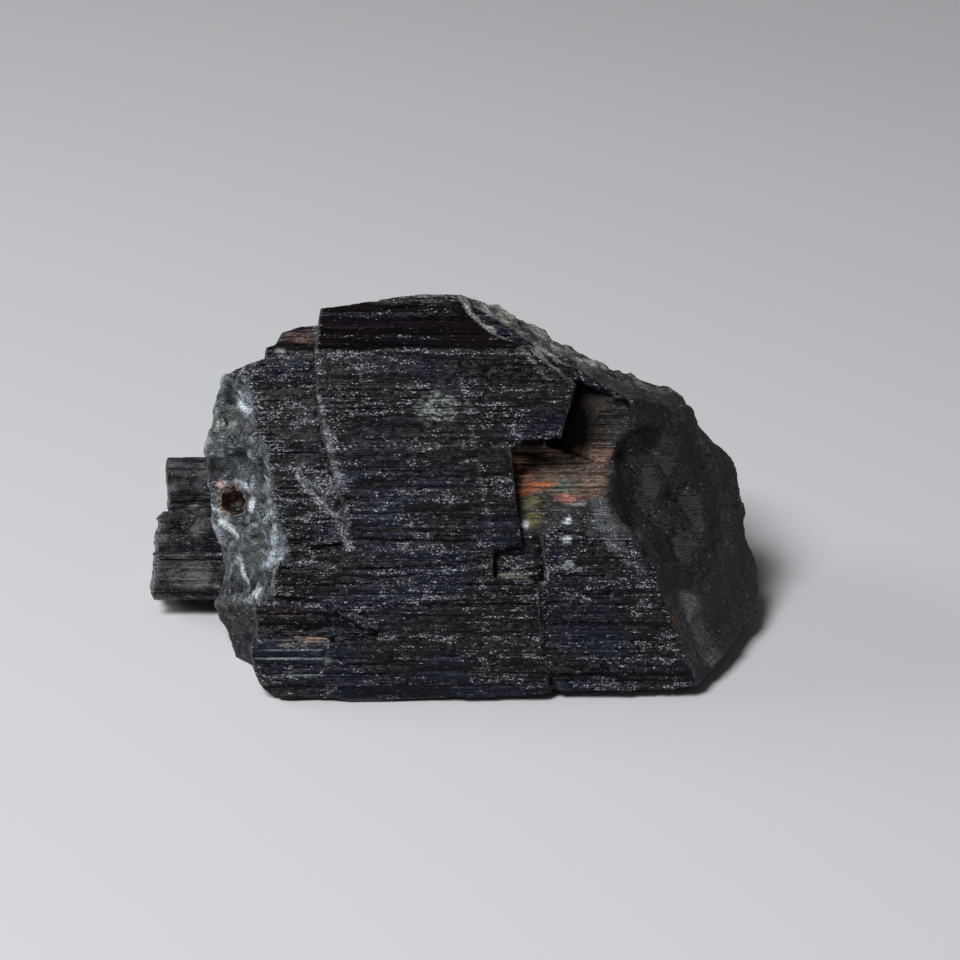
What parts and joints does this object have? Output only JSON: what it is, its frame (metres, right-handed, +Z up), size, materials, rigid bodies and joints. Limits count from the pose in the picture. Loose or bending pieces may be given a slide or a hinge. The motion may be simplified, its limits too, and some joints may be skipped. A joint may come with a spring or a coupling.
{
  "type": "black tourmaline crystal",
  "caption": "Rough black tourmaline crystal lying on its side, with a striated prism face, a broken-out recess, fractured ends and a small parallel side crystal.",
  "frame": {"origin": "the middle, from above, of the crystal's box, at the level of the surface that it lies on", "axes": "+X along the crystal's length, towards its large broken end; -Y towards the side with the big striated face; +Z up"},
  "size_m": [0.0722, 0.0444, 0.0391],
  "materials": {
    "schorl": "black, striated and partly glassy, with dull grey fracture surfaces"
  },
  "bodies": {
    "root": {"tourmaline_crystal": "schorl"}
  },
  "joints": []
}
